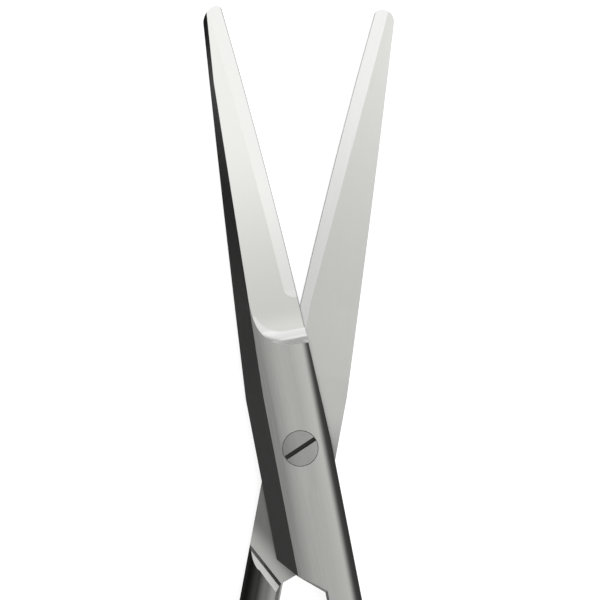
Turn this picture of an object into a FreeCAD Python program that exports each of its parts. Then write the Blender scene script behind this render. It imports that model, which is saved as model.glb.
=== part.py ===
"""Straight dissecting scissors: two forged halves that turn on a flush slotted screw.

Each half is modelled closed, with its outer face up, the screw axis on Z, the blade towards +Y and
the finger ring to the lower right. The rear half is the same forging turned over about Y. Both are
then turned apart by half of the opening angle, so the finished pair lies flat with the rear half's
outer face on z = 0.
"""
import FreeCAD, Part
import math
import os

V = FreeCAD.Vector

# Driving dimensions, in millimetres and degrees

blade_length = 62.0            # screw axis to blade tip
handle_length = 108.0          # screw axis to the end of the finger rings
half_thickness = 2.6           # thickness of one half at the joint
open_angle = 21.6              # angle between the halves as they lie

joint_left = 6.15              # screw axis to the spine side of the joint
joint_right = 4.40             # screw axis to the edge side of the joint
rear_spine_inset = 1.05        # the rear half is this much narrower on its spine side
joint_edge_radius = 1.0        # rounding of the front half's long edge beside the joint face
rear_edge_radius = 2.0         # the same on the rear half
inner_edge_radius = 0.35       # rounding of the shank's inner edges at the joint
crown_radius = 15.0            # the joint faces are crowned across the scissors
crown_land = 1.6               # flat strip along the middle of the crown
crown_offset = 0.4             # middle of the crown, from the screw axis towards the edge side

blade_root = 20.2              # screw axis to the start of the sharpened edge
blade_root_edge = 3.67         # edge side of the blade at its root
blade_tip_edge = 1.03          # edge side of the blade where the tip starts to round
blade_tip_spine = 1.97         # spine side of the blade there
tip_round_length = 1.5         # length of the rounded tip on the spine side
tip_crest = 0.05               # the end of the tip, from the screw axis towards the edge side
front_tip_longer = 0.5         # the front half's blade ends this much later
front_tip_corner = 0.45        # its cutting edge ends this far before its tip
front_tip_bow = 0.14           # bow of the tip on the spine side, as a share of its length
rear_tip_corner = 0.90         # the rear half's cutting edge ends this far before its tip
rear_tip_bow = 0.22            # bow of the tip on the spine side, as a share of its length
corner_bow = 0.17              # bow of both tips on the edge side
edge_bow = 0.25                # bow of the cutting edge
spine_bow = 0.12               # bow of the spine
spine_straight = 8.0           # the spine is parallel to the joint up to here

ground_root_thickness = 2.50   # blade thickness at the spine side, beside the root
ground_tip_thickness = 1.30    # blade thickness at the spine side of the tip
ground_slope = 0.27            # fall of the ground face towards the cutting edge
runout_radius = 2.2            # hollow left by the wheel where the ground face ends
runout_end = 14.1              # screw axis to the end of that hollow
runout_left = 5.1              # spine side of that hollow
runout_round = 6.2             # radius of its rounded corner, from above
bevel_root_width = 1.65        # cutting bevel at the root, in plan
bevel_tip_width = 1.90         # cutting bevel at the tip, in plan
bevel_land = 0.15              # blunt edge left under the cutting bevel
bevel_runout = 1.6             # length over which the cutting bevel dies out
facet_joint_width = 2.50       # spine facet beside the joint, in plan
facet_root_width = 2.10        # spine facet at the blade's root
facet_end_width = 0.62         # spine facet where its taper ends, and from there to the tip
facet_taper_end = 52.0         # screw axis to the end of that taper
facet_joint_foot = 0.90        # height of the spine wall left under the facet at the joint
facet_root_foot = 0.80         # the same at the blade's root
facet_end_foot = 0.95          # the same where the taper ends
facet_tip_foot = 0.85          # the same at the tip
ride_root_width = 1.40         # flat strip along the cutting edge of the inner face, at the root
ride_tip_width = 1.80          # the same at the tip
hollow_depth = 0.16            # hollow of the inner face at the spine
hollow_end = 9.0               # screw axis to the end of that hollow

parting_angle = 41.0           # lap ends and shoulders slope by this across the scissors
parting_reach = 17.8           # screw axis to the foot of the shoulder, along the scissors
joint_clearance = 0.10         # room between lap ends and shoulders when closed
lap_play = 0.02                # room between the two lap faces
front_end_foot = 0.30          # front lap end at the lap face, past the parting line
front_end_knee = 0.75          # front lap end at the top of its steep foot
front_knee_height = 0.40       # height of that foot
front_end_ledge = 1.64         # front lap end at the top of the undercut above the foot
front_ledge_height = 0.90      # height of that undercut over the lap face
front_end_top = 2.20           # front lap end at the outer face, past the parting line
front_end_chamfer = 0.35       # chamfer along the outer edge of that end
front_side_foot = 1.00         # inner side of the front shank at the lap face
front_side_top = -0.62         # inner side of the front shank at the outer face
rear_end = 1.60                # rear lap end, past the parting line
rear_side = -1.10              # inner side of the rear shank
wall_foot = 0.42               # foot of the rear half's sloped shoulder, past the parting line
rear_crest = 0.85              # the rear shank stands this high over the lap face at the shoulder

shank_start = 26.0             # screw axis to where the shank leaves the joint block
shank_width = 4.6              # width of the shank at its middle
shank_height = 4.4             # thickness of the shank at its middle
ring_bar_width = 4.75          # width of the finger ring's bar
ring_bar_height = 5.1          # thickness of that bar
ring_hole_width = 22.0         # finger opening, across
ring_hole_length = 28.0        # finger opening, along
ring_gap = 0.5                 # gap between the two closed rings

screw_head_diameter = 4.86
screw_head_height = 1.10
screw_diameter = 3.2
screw_play = 0.03              # radial play of the screw's neck in the front half
head_play = 0.08               # radial room round its head
slot_width = 0.60
slot_depth = 0.55
slot_angle = 33.3              # direction of the slot as the scissors lie

# Stations of the shank: share of its length, share of its sideways sway, corner radius
shank_stations = ((0.27, 0.36, 1.4), (0.58, 0.72, 1.7), (0.82, 0.93, 1.9), (1.0, 1.0, 2.0))
shank_join_across = 0.77       # where it ends in the ring's bar, as a share of the half width
shank_join_along = 0.62        # the same, as a share of the half length
shank_overlap = 6.0            # screw axis to the end of the shank's root in the joint block
corner_share = 0.9             # its corners take up at most this share of its height

# The cutting bevel's rounded end, as turns along a quarter round
runout_turns = (0, 25, 50, 70, 90)

# Sizes that follow

top = 2 * half_thickness
mid = half_thickness
tip_start = blade_length - tip_round_length
facet_edge = facet_joint_width - joint_left
beyond = 12.0                  # cutting bodies reach this far past the steel
margin = 1.0                   # and clear its faces by this much
slope_overrun = 0.7            # cutting slopes run on past both ends by this share of their width
round_middle = 1 - math.sqrt(0.5)   # a quarter round's middle, from either side, as a share of its radius
same_place = 1e-3              # edges closer together than this are in line


# Drawing helpers

def arc(a, b, c):
    """An arc through three points."""
    return Part.Arc(a, b, c).toShape()


def line(a, b):
    return Part.LineSegment(a, b).toShape()


def bowed(a, b, bow):
    """An arc from a to b that bows out on the right-hand side of its direction."""
    along = V(b - a).normalize()
    side = V(along.y, -along.x, 0)
    return arc(a, (a + b) * 0.5 + side * bow, b)


def solid(edges, direction):
    """A closed flat outline, extruded."""
    return Part.Face(Part.Wire(edges)).extrude(direction)


def loft(sections, ruled=True):
    """A solid through closed polygons with equal numbers of corners."""
    return Part.makeLoft([Part.makePolygon(s + [s[0]]) for s in sections], True, ruled)


def between(a, b, t):
    return a + (b - a) * t


# Forms that both halves share

def crown_drop(x):
    """How far the crowned joint face lies under its flat strip at x."""
    off = max(abs(x - crown_offset) - crown_land / 2, 0.0)
    return crown_radius - math.sqrt(crown_radius ** 2 - off ** 2)


def crowned_bar(edge_radius):
    """A long bar with the crowned outer face on top and its rounded long edge on the right."""
    y = -shank_start
    far = -joint_left - margin
    land_left = crown_offset - crown_land / 2
    land_right = crown_offset + crown_land / 2

    def on_crown(x):
        return V(x, y, top - crown_drop(x))

    turn = joint_right - edge_radius
    corner = on_crown(turn)
    side = V(joint_right, y, corner.z - edge_radius)
    knee = edge_radius * round_middle
    edges = [
        arc(on_crown(far), on_crown((far + land_left) / 2), on_crown(land_left)),
        line(on_crown(land_left), on_crown(land_right)),
        arc(on_crown(land_right), on_crown((land_right + turn) / 2), corner),
        arc(corner, V(joint_right - knee, y, corner.z - knee), side),
        line(side, V(joint_right, y, 0)),
        line(V(joint_right, y, 0), V(far, y, 0)),
        line(V(far, y, 0), on_crown(far)),
    ]
    return solid(edges, V(0, shank_start + blade_length + margin, 0))


def plan(inset, longer, corner, tip_bow):
    """Outline of blade and lap from above, with the lap running on to the start of the shank."""
    left = inset - joint_left
    crest = V(tip_crest, blade_length + longer)
    edge_tip = V(edge_x(crest.y - corner), crest.y - corner)
    spine_tip = V(-blade_tip_spine, tip_start)
    root = V(blade_root_edge, blade_root)
    spine_base = V(left, spine_straight)
    block = V(joint_right, 0)
    foot = V(joint_right, -shank_start)
    heel = V(left, -shank_start)
    return [
        bowed(root, edge_tip, edge_bow),
        bowed(edge_tip, crest, corner_bow * edge_tip.distanceToPoint(crest)),
        bowed(crest, spine_tip, tip_bow * crest.distanceToPoint(spine_tip)),
        bowed(spine_tip, spine_base, spine_bow),
        line(spine_base, heel),
        line(heel, foot),
        line(foot, block),
        line(block, root),
    ]


def parting_y(x, past):
    """The sloped parting line at x, moved past itself by a distance square to the line."""
    slope = math.radians(parting_angle)
    return -parting_reach - x * math.tan(slope) - past / math.cos(slope)


def ring_centre():
    return V(ring_gap / 2 + ring_bar_width + ring_hole_width / 2,
             ring_hole_length / 2 + ring_bar_width - handle_length, mid)


def ring_start():
    """Where the finger ring starts, along the scissors: the lap's cuts end there."""
    return ring_centre().y + ring_hole_length / 2 + ring_bar_width


def parting_body(steps):
    """The body to the lower left of the parting line, through steps of (z, past, side)."""
    sections = []
    far = -beyond - ring_hole_width - 2 * handle_length * math.sin(math.radians(open_angle))
    for z, past, side in steps:
        sections.append([
            V(far, parting_y(far, past), z),
            V(side, parting_y(side, past), z),
            V(side, ring_start(), z),
            V(far, ring_start(), z),
        ])
    return loft(sections)


def ground_height(x, y):
    """Height of the ground face over the lap face."""
    tip_x = facet_end_width - blade_tip_spine
    drop = ground_root_thickness - ground_tip_thickness + ground_slope * (facet_edge - tip_x)
    fall = drop / (blade_length - blade_root)
    return ground_root_thickness - fall * (y - blade_root) - ground_slope * (x - facet_edge)


def edge_x(y):
    """The cutting edge at y."""
    t = (y - blade_root) / (tip_start - blade_root)
    return between(blade_root_edge, blade_tip_edge, t) + 4 * edge_bow * t * (1 - t)


def spine_x(y, inset):
    """The spine at y."""
    t = max(y - spine_straight, 0.0) / (tip_start - spine_straight)
    return between(inset - joint_left, -blade_tip_spine, t) - 4 * spine_bow * t * (1 - t)


# Cuts that grind the blade

def ground_cutter():
    """What the wheel takes off the outer face of the blade, with the hollow where it leaves the steel."""
    left = V(-runout_left, runout_end + runout_round)
    low = V(runout_round - runout_left, runout_end)
    knee = runout_round * round_middle
    far = joint_right + beyond
    end_y = blade_length + beyond
    shoulder = V(-far, left.y + beyond / 2)
    edges = [
        arc(left, V(knee - runout_left, runout_end + knee), low),
        line(low, V(far, runout_end)),
        line(V(far, runout_end), V(far, end_y)),
        line(V(far, end_y), V(-far, end_y)),
        line(V(-far, end_y), shoulder),
        line(shoulder, left),
    ]
    body = solid(edges, V(0, 0, beyond))
    foot = []
    for edge in body.Edges:
        box = edge.BoundBox
        if box.ZMax < same_place and box.YMin < left.y - same_place and box.YMax < left.y + same_place:
            foot.append(edge)
    body = body.makeFillet(runout_radius, foot)
    origin = ground_height(0, 0)
    normal = V(origin - ground_height(1, 0), origin - ground_height(0, 1), 1)
    body.Placement = FreeCAD.Placement(V(0, 0, mid + origin), FreeCAD.Rotation(V(0, 0, 1), normal))
    return body


def slope_section(low, high, outside):
    """A triangle whose first side runs along a slope, drawn past both of its ends."""
    run = (high - low) * slope_overrun
    return [low - run, high + run, outside]


def facet_cutter(inset):
    """What is taken off along the spine."""
    stations = [
        (-shank_start - margin, facet_joint_width, facet_joint_foot),
        (spine_straight, facet_joint_width, facet_joint_foot),
        (blade_root, facet_root_width, facet_root_foot),
        (facet_taper_end, facet_end_width, facet_end_foot),
        (blade_length + margin, facet_end_width, facet_tip_foot),
    ]
    sections = []
    for y, width, foot in stations:
        outer = spine_x(y, inset)
        inner = outer + width
        height = top - crown_drop(inner) if y <= spine_straight else mid + ground_height(inner, y)
        low = V(outer, y, mid + foot)
        high = V(inner, y, height)
        sections.append(slope_section(low, high, V(outer - beyond / 3, y, top + beyond / 3)))
    return loft(sections)


def bevel_section(y, shift=0.0):
    """The cutting bevel at y, moved out of the steel by a shift."""
    t = (y - blade_root) / (blade_length - blade_root)
    width = between(bevel_root_width, bevel_tip_width, t)
    edge = edge_x(y)
    low = V(edge + shift, y, mid + bevel_land)
    high = V(edge - width + shift, y, mid + ground_height(edge - width, y))
    return slope_section(low, high, V(edge + beyond / 3, y, top + beyond / 3))


def bevel_cutter():
    """What is ground off along the cutting edge, dying out beside the blade's root."""
    start = blade_root + bevel_runout
    middle = (start + blade_length) / 2
    bevel = loft([bevel_section(y) for y in (start, middle, blade_length + margin)], ruled=False)
    sections = []
    for turn in runout_turns:
        turn = math.radians(turn)
        sections.append(bevel_section(start - bevel_runout * math.sin(turn),
                                      bevel_root_width * (1 - math.cos(turn))))
    return bevel.fuse(loft(sections, ruled=False))


def hollow_cutter(inset):
    """The shallow hollow of the inner face behind its flat strip."""
    stations = [
        (blade_length + margin, ride_tip_width, hollow_depth),
        (blade_root, ride_root_width, hollow_depth),
        (hollow_end, ride_root_width, -lap_play),
    ]
    face = mid + lap_play / 2
    sections = []
    for y, width, depth in stations:
        strip = min(edge_x(y), blade_root_edge) - width
        wide = strip - spine_x(y, inset)
        near = V(strip + wide, y, face - depth)
        far = V(strip - 2 * wide, y, face + 2 * depth)
        sections.append([near, far, V(far.x, y, 0), V(near.x, y, 0)])
    return loft(sections)


# Shank and finger ring

def shank_section(y, left, right, heights, radii):
    """A crowned rectangle with rounded corners: heights above and below, radii at the left and right."""
    r_left, r_right = radii
    at_joint = y >= -shank_start

    def half_outline(sign, height):
        def on_crown(x):
            off = x - (left + right) / 2
            return height - (crown_drop(x) if at_joint else off ** 2 / (2 * crown_radius))

        def at(x, z):
            return V(x, y, mid + sign * z)

        def corner(x, r, direction):
            z = on_crown(x + direction * r)
            deep = min(r, z * corner_share)
            middle = at(x + direction * r * round_middle, z - deep * round_middle)
            return at(x, z - deep), middle, at(x + direction * r, z)

        a, b, c = corner(left, r_left, 1)
        f, e, d = corner(right, r_right, -1)
        middle = (c.x + d.x) / 2
        return [arc(a, b, c), arc(c, at(middle, on_crown(middle)), d), arc(d, e, f)], a, f

    upper, upper_left, upper_right = half_outline(1, heights[0])
    lower, lower_left, lower_right = half_outline(-1, heights[1])
    side_right = line(upper_right, lower_right)
    side_left = line(lower_left, upper_left)
    return Part.Wire(upper + [side_right] + lower[::-1] + [side_left])


def finger_ring():
    """An oval bar bent into an oval ring."""
    centre = ring_centre()
    across = (ring_hole_width + ring_bar_width) / 2
    along = (ring_hole_length + ring_bar_width) / 2
    path = Part.Ellipse(centre + V(0, along, 0), centre + V(across, 0, 0), centre).toShape()
    start = centre + V(0, along, 0)
    bar_top = start + V(0, 0, ring_bar_height / 2)
    bar_side = start + V(0, ring_bar_width / 2, 0)
    section = Part.Ellipse(bar_top, bar_side, start).toShape()
    return Part.Wire([path]).makePipeShell([Part.Wire([section])], True, True)


def shank(inner, edge_radius, crest):
    """From the joint block to the finger ring; the crest is its height over the lap face at the joint."""
    centre = ring_centre()
    first = shank_section(-shank_start, inner, joint_right, (half_thickness, crest),
                          (inner_edge_radius, edge_radius))
    root = Part.Face(first).extrude(V(0, shank_start - shank_overlap, 0))
    end_x = centre.x - (ring_hole_width + ring_bar_width) / 2 * shank_join_across
    end_y = centre.y + (ring_hole_length + ring_bar_width) / 2 * shank_join_along
    start_x = (inner + joint_right) / 2
    sections = [first]
    for t, sway, radius in shank_stations:
        y = between(-shank_start, end_y, t)
        left = between(start_x, end_x, sway) - shank_width / 2
        heights = (shank_height / 2, shank_height / 2)
        sections.append(shank_section(y, left, left + shank_width, heights, (radius, radius)))
    return root.fuse(Part.makeLoft(sections, True, False))


# One half, its seats for the screw, and the screw

def half(outline, inset, edge_radius, inner, crest, end_steps, shoulder_steps):
    """A half, closed, with its outer face up and its shank to the lower right."""
    plate = solid(outline, V(0, 0, mid)).translated(V(0, 0, mid)).common(crowned_bar(edge_radius))
    body = plate.fuse([shank(inner, edge_radius, crest), finger_ring()])
    wide = 2 * (joint_left + ring_hole_width + beyond)
    under = Part.makeBox(2 * wide, blade_length + beyond - ring_start(), mid + lap_play / 2 + margin,
                         V(-wide, ring_start(), -margin))
    shoulder = parting_body(shoulder_steps).mirror(V(0, 0, 0), V(1, 0, 0))
    body = body.cut(under.cut(shoulder))
    body = body.cut(parting_body(end_steps))
    for cutter in (ground_cutter(), facet_cutter(inset), bevel_cutter(), hollow_cutter(inset)):
        body = body.cut(cutter)
    return body


def end_at(height):
    """Past and side of the front half's undercut lap end, at a height over the lap face."""
    side = between(front_side_foot, front_side_top, height / half_thickness)
    steps = ((0, front_end_foot), (front_knee_height, front_end_knee),
             (front_ledge_height, front_end_ledge), (half_thickness, front_end_top))
    low, high = [pair for pair in zip(steps, steps[1:]) if height >= pair[0][0]][-1]
    return between(low[1], high[1], (height - low[0]) / (high[0] - low[0])), side


def front_end_steps():
    heights = (0, front_knee_height, front_ledge_height, half_thickness - front_end_chamfer)
    steps = [(mid + height, *end_at(height)) for height in heights]
    z, past, side = steps[-1]
    rise = top + margin - z
    return steps + [(z + rise, past - rise, side + rise)]


def rear_shoulder_steps():
    """The wall that the front half's lap end closes onto, and the shallower crest above it."""
    high = front_knee_height + half_thickness
    ridge = front_end_knee + joint_clearance
    slope = (front_end_ledge - front_end_knee) / (front_ledge_height - front_knee_height)
    crest = ridge + half_thickness * slope
    steps = []
    for height, past, play in ((0, wall_foot, lap_play), (front_knee_height, ridge, 0), (high, crest, 0)):
        side = end_at(height)[1] - joint_clearance
        steps.append((mid - height + play, past, side))
    return steps


def cylinder(radius, low, high):
    return Part.makeCylinder(radius, high - low, V(0, 0, low))


def turned_over(shape):
    """The same shape turned over about Y, so that its outer face is below."""
    return shape.rotated(V(0, 0, mid), V(0, 1, 0), 180)


def opened(shape, direction):
    return shape.rotated(V(0, 0, 0), V(0, 0, 1), direction * open_angle / 2)


def front_half():
    outline = plan(0.0, front_tip_longer, front_tip_corner, front_tip_bow)
    body = half(outline, 0.0, joint_edge_radius, front_side_top, half_thickness, front_end_steps(),
                [(mid + lap_play, rear_end + joint_clearance, rear_side - joint_clearance),
                 (-margin, rear_end + joint_clearance, rear_side - joint_clearance)])
    body = body.cut(cylinder(screw_diameter / 2 + screw_play, 0, top + margin))
    seat = top - screw_head_height
    return opened(body.cut(cylinder(screw_head_diameter / 2 + head_play, seat, top + margin)), 1)


def rear_half():
    outline = plan(rear_spine_inset, 0.0, rear_tip_corner, rear_tip_bow)
    body = half(outline, rear_spine_inset, rear_edge_radius, rear_side, rear_crest,
                [(mid, rear_end, rear_side), (top + margin, rear_end, rear_side)],
                rear_shoulder_steps())
    body = body.cut(cylinder(screw_diameter / 2, 0, top + margin))
    return opened(turned_over(body), -1)


def pivot_screw():
    """Flat-headed slotted screw, ground flush with both outer faces."""
    head_low = top - screw_head_height + lap_play
    body = cylinder(screw_diameter / 2, 0, top).fuse(cylinder(screw_head_diameter / 2, head_low, top))
    body = body.common(opened(crowned_bar(joint_edge_radius), 1))
    body = body.common(opened(turned_over(crowned_bar(rear_edge_radius)), -1))
    long = screw_head_diameter + margin
    corner = V(-long / 2, -slot_width / 2, top - slot_depth)
    slot = Part.makeBox(long, slot_width, slot_depth + margin, corner)
    return body.cut(slot.rotated(V(0, 0, 0), V(0, 0, 1), slot_angle))


def main():
    os.makedirs("parts", exist_ok=True)
    for make in (front_half, rear_half, pivot_screw):
        shape = make()
        body = shape.Solids[0]
        body.exportStep("parts/" + make.__name__ + ".step")
        volume = round(body.Volume)
        print(make.__name__, len(shape.Solids), "solid,", volume, "cubic mm, valid:", body.isValid())


main()
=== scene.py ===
"""Straight dissecting scissors, lying open on a pale floor and seen from straight above."""
import math

import bmesh
import bpy
from mathutils import Matrix, Vector


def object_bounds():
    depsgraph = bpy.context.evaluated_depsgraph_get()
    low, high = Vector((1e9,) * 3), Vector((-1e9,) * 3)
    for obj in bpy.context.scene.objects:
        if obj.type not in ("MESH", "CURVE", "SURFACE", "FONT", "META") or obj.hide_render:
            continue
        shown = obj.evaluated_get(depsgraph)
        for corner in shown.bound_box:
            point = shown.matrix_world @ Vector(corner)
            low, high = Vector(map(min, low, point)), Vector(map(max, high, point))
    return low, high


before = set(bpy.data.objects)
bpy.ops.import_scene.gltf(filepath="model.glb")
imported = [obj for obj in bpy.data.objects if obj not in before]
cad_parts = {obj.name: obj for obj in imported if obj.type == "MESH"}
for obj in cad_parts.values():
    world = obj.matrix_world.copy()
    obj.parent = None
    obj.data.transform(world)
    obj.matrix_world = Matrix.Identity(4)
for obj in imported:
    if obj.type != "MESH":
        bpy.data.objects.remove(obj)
cad_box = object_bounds()

MM = 0.001

# The view, in millimetres of the scissors
VIEW_CENTRE = (0.03, 20.5)
VIEW_TURN = math.radians(-0.2)
VIEW_WIDTH = 82.9
VIEW_LEVEL = 5.0
LENS = 150.0
SENSOR = 36.0
CLIP_START = 0.01        # metres
CLIP_END = 20.0

# Places in a half's own frame, in millimetres: closed, outer face up, the sharp edge on the right
HALF_TURN = math.radians(10.8)
HALF_THICKNESS = 2.6
BLADE_ROOT = 14.0        # the blade lies past this
EDGE_ROOT = 20.0         # and its sharpened edge past this
BLADE_FAR = 50.0         # only the blade's own faces reach this far
LAP_END = -14.0          # the lap lies past this, and the shank before it
LAP_BELOW = 0.1          # the inner faces lie at most this much under the middle
LAP_ABOVE = 0.5          # and at most this much over it
FLAT = 0.02              # a flat face is no higher than this
SHANK_PLAIN = -38.0      # the shank has no bands of shade before this
SHANK_BANDED = -23.0     # and has them in full past this

# Which way a face leans, as parts of its direction
LEVEL = 0.9              # a level face points up or down by more than this
SLOPED = 0.5             # and a sloped one by more than this
BEVEL_LEAN = 0.4
FACET_LEAN = 0.35
RUNOUT_LEAN = 0.25
SHOULDER_LEAN = 0.3

# The cutting edge: its two ends, how far it bows out between them, and the fine dark line of painted shade
# along it
EDGE_X = (3.67, 1.03)
EDGE_Y = (20.2, 60.5)
EDGE_BOW = 1.0
PAINTED_EDGE_LINE_WIDTH = 0.20
PAINTED_EDGE_LINE_SHADE = 0.35

# The screw's head and slot
HEAD_RADIUS = 2.43
HEAD_RIM = 0.02
SLOT_DEPTH = 0.55
SLOT_ROOM = 0.05
CROWN = 4.8              # faces under this and over the slot's floor are in the slot
UPRIGHT = 0.5            # and so are those that point up or down by less than this

# Each finish and its painted shade: its colour, its roughness, and how far the scratches shade it
STEEL = (0.60, 0.60, 0.585, 1.0)
# The facet, wall and crest are greyed darker as painted shade, the bevel and strip lightened as painted
# highlights, and the runout slightly darkened as painted shade; roughness and scratches are real.
FINISHES_AND_PAINTED_SHADE = {
    "satin": (STEEL, 0.46, 0.10),
    "ground": (STEEL, 0.30, 0.04),
    "bevel": ((0.68, 0.68, 0.67, 1.0), 0.26, 0.03),
    "runout": ((0.56, 0.56, 0.56, 1.0), 0.32, 0.04),
    "facet": ((0.30, 0.30, 0.30, 1.0), 0.30, 0.05),
    "inner": ((0.62, 0.62, 0.605, 1.0), 0.33, 0.04),
    "strip": ((0.88, 0.88, 0.875, 1.0), 0.33, 0.03),
    "wall": ((0.24, 0.24, 0.235, 1.0), 0.35, 0.05),
    "crest": ((0.46, 0.46, 0.455, 1.0), 0.35, 0.05),
}
PAINTED_EDGE_LINE_FINISHES = ("ground", "bevel", "strip")
SATIN_FINENESS = 7.0
GROUND_FINENESS = 9.0
SCRATCH_STRETCH = 0.02   # scratches run along the scissors, this much coarser that way
ROUGH_SPREAD = 0.04
SCRATCH_DEPTH = 0.01

# Bands of painted shade and painted reflection, each with its direction (across, along), start, end, shade
# before and shade after
# Painted shade across each half's satin: the front a little darker toward its sharp side and nearly black on
# its rounded edge there, the rear darker in two steps across its shank.
FRONT_SATIN_PAINTED_SHADE = [(1, 0, -2.5, 1.6, 1.0, 0.90), (1, 0, 2.8, 3.8, 1.0, 0.09)]
REAR_SATIN_PAINTED_SHADE = [(1, 0, -0.1, 0.95, 0.78, 0.42), (1, 0, 1.2, 2.4, 1.0, 0.20)]
PAINTED_SHADE_BANDS = {
    # Painted reflections and painted shade along the blades: the ground face lighter toward the tip and by the
    # runout, the bevel and strip lighter away from their roots, the runout with painted highlight rims about a
    # painted dark line, the facet lighter by the joint and darker toward the tip, the inner face darker past
    # the joint as painted shade and lighter by the shoulder as painted reflection.
    "ground": [(0, 1, 18.0, 46.0, 0.84, 1.16), (0, 1, 19.5, 16.5, 1.0, 1.16)],
    "bevel": [(0, 1, 20.0, 38.0, 0.82, 1.0)],
    "runout": [(0, 1, 17.0, 16.5, 1.04, 1.20), (0, 1, 16.4, 15.7, 1.0, 0.87), (0, 1, 15.5, 15.0, 1.0, 1.65)],
    "facet": [(0, 1, 4.0, 40.0, 1.60, 0.42)],
    "inner": [(0, 1, 6.0, -5.0, 1.0, 0.36), (-0.656, 0.755, -10.8, -13.7, 1.0, 2.5),
              (0, 1, 20.0, 60.0, 0.95, 1.12)],
    "strip": [(0, 1, 18.0, 56.0, 0.80, 1.03)],
}

SCREW_COLOUR = (0.42, 0.42, 0.41, 1.0)
SCREW_ROUGHNESS = 0.44
SCREW_FINENESS = 4.0
SCREW_SHADE = 0.25
# The slot is greyed near black: painted shade in the recess.
SLOT_PAINTED_SHADE_COLOUR = (0.06, 0.06, 0.056, 1.0)
SLOT_ROUGHNESS = 0.55
SLOT_FINENESS = 6.0
SLOT_SHADE = 0.06

FLOOR_SIZE = 6.0         # metres
FLOOR_DROP = 0.02
FLOOR_COLOUR = (0.75, 0.75, 0.75, 1.0)
FLOOR_SEEN = 0.8         # added where the camera sees the floor, which makes it white
FLOOR_MIRRORED = 0.1     # added where steel mirrors it

# The light overhead, as parts of a direction: where each of its sides is dark, and where it is full
LIGHT_LEFT = (-0.52, 0.10)
LIGHT_RIGHT = (1.0, 0.95)
LIGHT_NEAR = (-0.35, 0.25)
LIGHT_BEYOND = (1.0, 0.85)
LIGHT_ABOVE = (0.0, 0.2)
NEAR_LEVEL = 0.45        # its near side is not quite dark
LIGHT_LEVEL = 1.30
ROOM_LEVEL = 0.06
LIGHT_COLOUR = (1.0, 1.0, 0.99, 1.0)


class Graph:
    """A node tree that is filled by calls."""

    def __init__(self, tree):
        self.tree = tree

    def node(self, kind, inputs=(), **settings):
        made = self.tree.nodes.new(kind)
        for name, value in settings.items():
            setattr(made, name, value)
        for socket, value in dict(inputs).items():
            self.feed(made.inputs[socket], value)
        return made

    def feed(self, socket, value):
        if isinstance(value, bpy.types.NodeSocket):
            self.tree.links.new(value, socket)
        else:
            socket.default_value = value

    def math(self, operation, *values):
        made = self.node("ShaderNodeMath", operation=operation)
        for socket, value in zip(made.inputs, values):
            self.feed(socket, value)
        return made.outputs[0]

    def scaled(self, vector, factor):
        """A colour or a place times a factor."""
        return self.node("ShaderNodeVectorMath", {0: vector, "Scale": factor}, operation="SCALE").outputs[0]

    def ramp(self, value, low, high, to_low=0.0, to_high=1.0):
        """A value carried smoothly from one range to another, held at both ends."""
        made = self.node("ShaderNodeMapRange", {
            "Value": value, "From Min": low, "From Max": high, "To Min": to_low, "To Max": to_high,
        }, interpolation_type="SMOOTHSTEP")
        return made.outputs[0]

    def own_place(self, turn):
        """Where a point lies across, along and up in the half's own frame, in millimetres."""
        place = self.node("ShaderNodeTexCoord").outputs["Object"]
        turned = self.node("ShaderNodeVectorRotate", {"Vector": place, "Angle": turn}, rotation_type="Z_AXIS")
        grown = self.scaled(turned.outputs[0], 1 / MM)
        return self.node("ShaderNodeSeparateXYZ", {"Vector": grown}).outputs


def make_group(name, numbers, outputs, colour=None):
    """An empty shader node group with its sockets, and the graph that fills it."""
    tree = bpy.data.node_groups.new(name, "ShaderNodeTree")
    for socket in numbers:
        tree.interface.new_socket(socket, in_out="INPUT", socket_type="NodeSocketFloat")
    if colour:
        tree.interface.new_socket(colour, in_out="INPUT", socket_type="NodeSocketColor")
    for socket, kind in outputs:
        tree.interface.new_socket(socket, in_out="OUTPUT", socket_type="NodeSocket" + kind)
    graph = Graph(tree)
    return tree, graph, graph.node("NodeGroupInput").outputs, graph.node("NodeGroupOutput").inputs


def brushed_group():
    """Fine scratches along the scissors: a height, and a colour and a roughness that vary with them."""
    tree, graph, given, result = make_group(
        "brushed", ["Turn", "Fineness", "Stretch", "Roughness", "Shade"],
        [("Colour", "Color"), ("Roughness", "Float"), ("Height", "Float")], colour="Colour")
    place = graph.own_place(given["Turn"])
    point = graph.node("ShaderNodeCombineXYZ", {
        "X": place["X"], "Y": graph.math("MULTIPLY", place["Y"], given["Stretch"]), "Z": place["Z"]}).outputs[0]
    noise = graph.node("ShaderNodeTexNoise", {
        "Vector": point, "Scale": given["Fineness"], "Detail": 3.0, "Roughness": 0.6}).outputs[0]
    off = graph.math("SUBTRACT", noise, 0.5)
    rough = graph.math("MULTIPLY_ADD", off, ROUGH_SPREAD, given["Roughness"])
    shade = graph.math("MULTIPLY_ADD", off, given["Shade"], 1.0)
    graph.feed(result["Height"], noise)
    graph.feed(result["Roughness"], rough)
    graph.feed(result["Colour"], graph.scaled(given["Colour"], shade))
    return tree


def band_group():
    """A painted shade that changes over a band: one level before it, another after it, and none down the shank.
    """
    tree, graph, given, result = make_group(
        "band", ["Turn", "Mirror", "Across", "Along", "Start", "End", "Before", "After"], [("Shade", "Float")])
    place = graph.own_place(given["Turn"])
    across = graph.math("MULTIPLY", graph.math("MULTIPLY", place["X"], given["Mirror"]), given["Across"])
    where = graph.math("MULTIPLY_ADD", place["Y"], given["Along"], across)
    shade = graph.ramp(where, given["Start"], given["End"], given["Before"], given["After"])
    strength = graph.ramp(place["Y"], SHANK_PLAIN, SHANK_BANDED)
    off = graph.math("SUBTRACT", shade, 1.0)
    graph.feed(result["Shade"], graph.math("MULTIPLY_ADD", off, strength, 1.0))
    return tree


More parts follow.
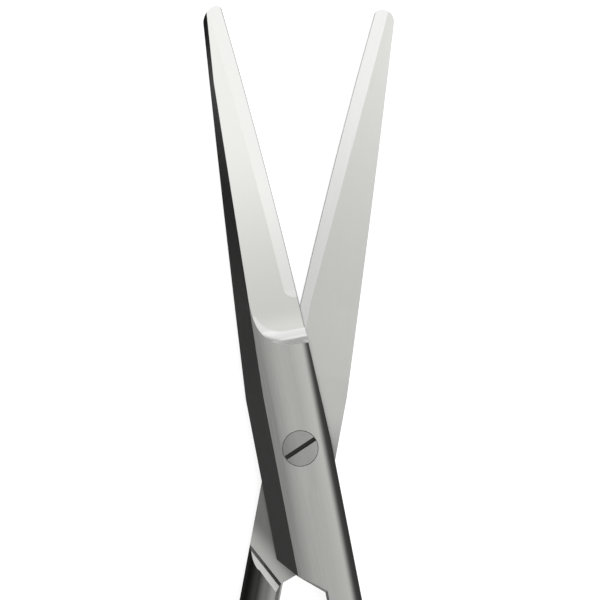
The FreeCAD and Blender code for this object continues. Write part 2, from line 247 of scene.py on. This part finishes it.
def painted_edge_line_group():
    """Painted shade: a fine dark line along the sharpened cutting edge."""
    tree, graph, given, result = make_group("painted_edge_line", ["Turn", "Mirror"], [("Shade", "Float")])
    place = graph.own_place(given["Turn"])
    across = graph.math("MULTIPLY", place["X"], given["Mirror"])
    part = graph.math("DIVIDE", graph.math("SUBTRACT", place["Y"], EDGE_Y[0]), EDGE_Y[1] - EDGE_Y[0])
    straight = graph.math("MULTIPLY_ADD", part, EDGE_X[1] - EDGE_X[0], EDGE_X[0])
    bow = graph.math("MULTIPLY", graph.math("MULTIPLY", part, graph.math("SUBTRACT", 1.0, part)), EDGE_BOW)
    inside = graph.math("SUBTRACT", graph.math("ADD", straight, bow), across)
    graph.feed(result["Shade"], graph.ramp(inside, 0.0, PAINTED_EDGE_LINE_WIDTH, PAINTED_EDGE_LINE_SHADE, 1.0))
    return tree


BRUSHED = brushed_group()
BAND = band_group()
PAINTED_EDGE_LINE_TREE = painted_edge_line_group()


def steel(name, colour, roughness, fineness, shade, stretch, turn=0.0, mirror=1.0, bands=(), painted_edge_line=False):
    """Ground or brushed steel, with its bands of painted shade and painted reflection and, where asked, a fine
    dark line of painted shade along the cutting edge.
    """
    material = bpy.data.materials.new(name)
    material.use_nodes = True
    graph = Graph(material.node_tree)
    shader = material.node_tree.nodes["Principled BSDF"]
    brushed = graph.node("ShaderNodeGroup", node_tree=BRUSHED)
    for socket, value in (("Turn", turn), ("Fineness", fineness), ("Stretch", stretch),
                          ("Roughness", roughness), ("Colour", colour), ("Shade", shade)):
        graph.feed(brushed.inputs[socket], value)
    colour = brushed.outputs["Colour"]
    for across, along, start, end, before, after in bands:
        band = graph.node("ShaderNodeGroup", node_tree=BAND)
        for socket, value in (("Turn", turn), ("Mirror", mirror), ("Across", across), ("Along", along),
                              ("Start", start), ("End", end), ("Before", before), ("After", after)):
            graph.feed(band.inputs[socket], value)
        colour = graph.scaled(colour, band.outputs["Shade"])
    if painted_edge_line:
        line = graph.node("ShaderNodeGroup", node_tree=PAINTED_EDGE_LINE_TREE)
        for socket, value in (("Turn", turn), ("Mirror", mirror)):
            graph.feed(line.inputs[socket], value)
        colour = graph.scaled(colour, line.outputs["Shade"])
    raised = graph.node("ShaderNodeBump", {
        "Height": brushed.outputs["Height"], "Strength": 1.0, "Distance": SCRATCH_DEPTH * MM})
    graph.feed(shader.inputs["Base Color"], colour)
    graph.feed(shader.inputs["Roughness"], brushed.outputs["Roughness"])
    graph.feed(shader.inputs["Metallic"], 1.0)
    graph.feed(shader.inputs["Normal"], raised.outputs[0])
    return material


def own_frame(turned_over):
    """From the scissors as they lie to a half's own frame, in millimetres."""
    scale = Matrix.Scale(1 / MM, 4)
    if turned_over:
        lift = Matrix.Translation((0, 0, HALF_THICKNESS * 2))
        return lift @ Matrix.Rotation(math.pi, 4, "Y") @ Matrix.Rotation(HALF_TURN, 4, "Z") @ scale
    return Matrix.Rotation(-HALF_TURN, 4, "Z") @ scale


def ground_faces(mesh):
    """The mesh's smooth faces, each a list of polygons that share corners."""
    owner = list(range(len(mesh.vertices)))

    def root(i):
        while owner[i] != i:
            owner[i] = owner[owner[i]]
            i = owner[i]
        return i

    for edge in mesh.edges:
        a, b = (root(i) for i in edge.vertices)
        if a != b:
            owner[a] = b
    faces = {}
    for polygon in mesh.polygons:
        faces.setdefault(root(polygon.vertices[0]), []).append(polygon)
    return list(faces.values())


def finish_and_painted_shade_of(normal, low, high):
    """The finish of a face, which brings its painted shade, from its direction and its box in the half's own
    frame.
    """
    if normal.z < -LEVEL and low.z > HALF_THICKNESS - LAP_BELOW and high.z < HALF_THICKNESS + LAP_ABOVE:
        return "strip" if high.y > BLADE_FAR and high.z - low.z < FLAT else "inner"
    if normal.z > LEVEL and high.y > BLADE_FAR and low.y > BLADE_ROOT:
        return "ground"
    if low.y > EDGE_ROOT and normal.x > BEVEL_LEAN and normal.z > SLOPED:
        return "bevel"
    if low.y > BLADE_ROOT and high.y < EDGE_ROOT and normal.y > RUNOUT_LEAN:
        return "runout"
    if normal.x < -FACET_LEAN and normal.z > SLOPED and high.x < 0 and high.y > LAP_END:
        return "facet"
    if normal.y > SHOULDER_LEAN and normal.z < -SLOPED and high.y < LAP_END:
        return "wall" if high.z > HALF_THICKNESS else "crest"
    return "satin"


def dress_half(node, turned_over, satin_painted_shade_bands):
    """Gives each face of a half the steel that it was ground with, and the painted shade and painted
    reflections of its kind of face.
    """
    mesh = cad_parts[node].data
    mesh.materials.clear()
    for finish, (colour, roughness, shade) in FINISHES_AND_PAINTED_SHADE.items():
        satin = finish == "satin"
        mesh.materials.append(steel(
            node + "_" + finish, colour, roughness, SATIN_FINENESS if satin else GROUND_FINENESS, shade,
            SCRATCH_STRETCH, turn=HALF_TURN if turned_over else -HALF_TURN, mirror=-1.0 if turned_over else 1.0,
            bands=satin_painted_shade_bands if satin else PAINTED_SHADE_BANDS.get(finish, ()), painted_edge_line=finish in PAINTED_EDGE_LINE_FINISHES))
    order = list(FINISHES_AND_PAINTED_SHADE)
    own = own_frame(turned_over)
    for face in ground_faces(mesh):
        normal = Vector((0, 0, 0))
        points = []
        for polygon in face:
            normal += polygon.normal * polygon.area
            points += [own @ mesh.vertices[i].co for i in polygon.vertices]
        normal = (own.to_3x3() @ normal).normalized()
        low = Vector([min(p[i] for p in points) for i in range(3)])
        high = Vector([max(p[i] for p in points) for i in range(3)])
        kind = order.index(finish_and_painted_shade_of(normal, low, high))
        for polygon in face:
            polygon.material_index = kind


def dress_screw():
    """A satin head, with its slot greyed near black as painted shade."""
    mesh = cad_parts["pivot_screw"].data
    mesh.materials.clear()
    mesh.materials.append(steel("screw_satin", SCREW_COLOUR, SCREW_ROUGHNESS, SCREW_FINENESS, SCREW_SHADE, 1.0))
    mesh.materials.append(steel("screw_slot", SLOT_PAINTED_SHADE_COLOUR, SLOT_ROUGHNESS, SLOT_FINENESS, SLOT_SHADE, 1.0))
    slot_floor = 2 * HALF_THICKNESS - SLOT_DEPTH - SLOT_ROOM
    for polygon in mesh.polygons:
        level = polygon.center.z / MM
        inside = math.hypot(polygon.center.x, polygon.center.y) / MM < HEAD_RADIUS - HEAD_RIM
        slot = level > slot_floor and (abs(polygon.normal.z) < UPRIGHT or level < CROWN)
        polygon.material_index = 1 if slot and inside else 0


def make_floor():
    """A wide pale floor that shows white and keeps the soft shadow."""
    mesh = bpy.data.meshes.new("floor")
    form = bmesh.new()
    bmesh.ops.create_grid(form, x_segments=1, y_segments=1, size=FLOOR_SIZE)
    form.to_mesh(mesh)
    form.free()
    floor = bpy.data.objects.new("floor", mesh)
    bpy.context.scene.collection.objects.link(floor)
    floor.location.z = cad_box[0].z - FLOOR_DROP * MM
    material = bpy.data.materials.new("floor")
    material.use_nodes = True
    graph = Graph(material.node_tree)
    shader = material.node_tree.nodes["Principled BSDF"]
    graph.feed(shader.inputs["Base Color"], FLOOR_COLOUR)
    graph.feed(shader.inputs["Roughness"], 1.0)
    graph.feed(shader.inputs["Specular IOR Level"], 0.0)
    graph.feed(shader.inputs["Emission Color"], (1.0, 1.0, 1.0, 1.0))
    path = graph.node("ShaderNodeLightPath").outputs
    mirrored = graph.math("MAXIMUM", path["Is Glossy Ray"], path["Is Transmission Ray"])
    seen = graph.math("MULTIPLY", path["Is Camera Ray"], FLOOR_SEEN)
    graph.feed(shader.inputs["Emission Strength"], graph.math("MULTIPLY_ADD", mirrored, FLOOR_MIRRORED, seen))
    mesh.materials.append(material)


def make_light():
    """One large soft light overhead, a little to the right and beyond the tips, in dim surroundings."""
    world = bpy.data.worlds.new("studio")
    bpy.context.scene.world = world
    world.use_nodes = True
    graph = Graph(world.node_tree)
    background = world.node_tree.nodes["Background"]
    direction = graph.node("ShaderNodeTexCoord").outputs["Generated"]
    apart = graph.node("ShaderNodeSeparateXYZ", {"Vector": direction}).outputs
    level = graph.ramp(apart["Y"], *LIGHT_NEAR, NEAR_LEVEL, 1.0)
    for part, side in (("X", LIGHT_LEFT), ("X", LIGHT_RIGHT), ("Y", LIGHT_BEYOND), ("Z", LIGHT_ABOVE)):
        level = graph.math("MULTIPLY", level, graph.ramp(apart[part], *side))
    graph.feed(background.inputs["Strength"], graph.math("MULTIPLY_ADD", level, LIGHT_LEVEL, ROOM_LEVEL))
    graph.feed(background.inputs["Color"], LIGHT_COLOUR)


def make_camera():
    """A long lens straight above the joint and the blades."""
    camera = bpy.data.cameras.new("camera")
    camera.lens = LENS
    camera.sensor_width = SENSOR
    camera.clip_start = CLIP_START
    camera.clip_end = CLIP_END
    made = bpy.data.objects.new("camera", camera)
    bpy.context.scene.collection.objects.link(made)
    distance = VIEW_WIDTH * LENS / SENSOR
    made.location = (VIEW_CENTRE[0] * MM, VIEW_CENTRE[1] * MM, (VIEW_LEVEL + distance) * MM)
    made.rotation_euler.z = VIEW_TURN
    bpy.context.scene.camera = made


dress_half("front_half", False, FRONT_SATIN_PAINTED_SHADE)
dress_half("rear_half", True, REAR_SATIN_PAINTED_SHADE)
dress_screw()
make_floor()
make_light()
make_camera()

bpy.context.scene.view_settings.view_transform = "Standard"
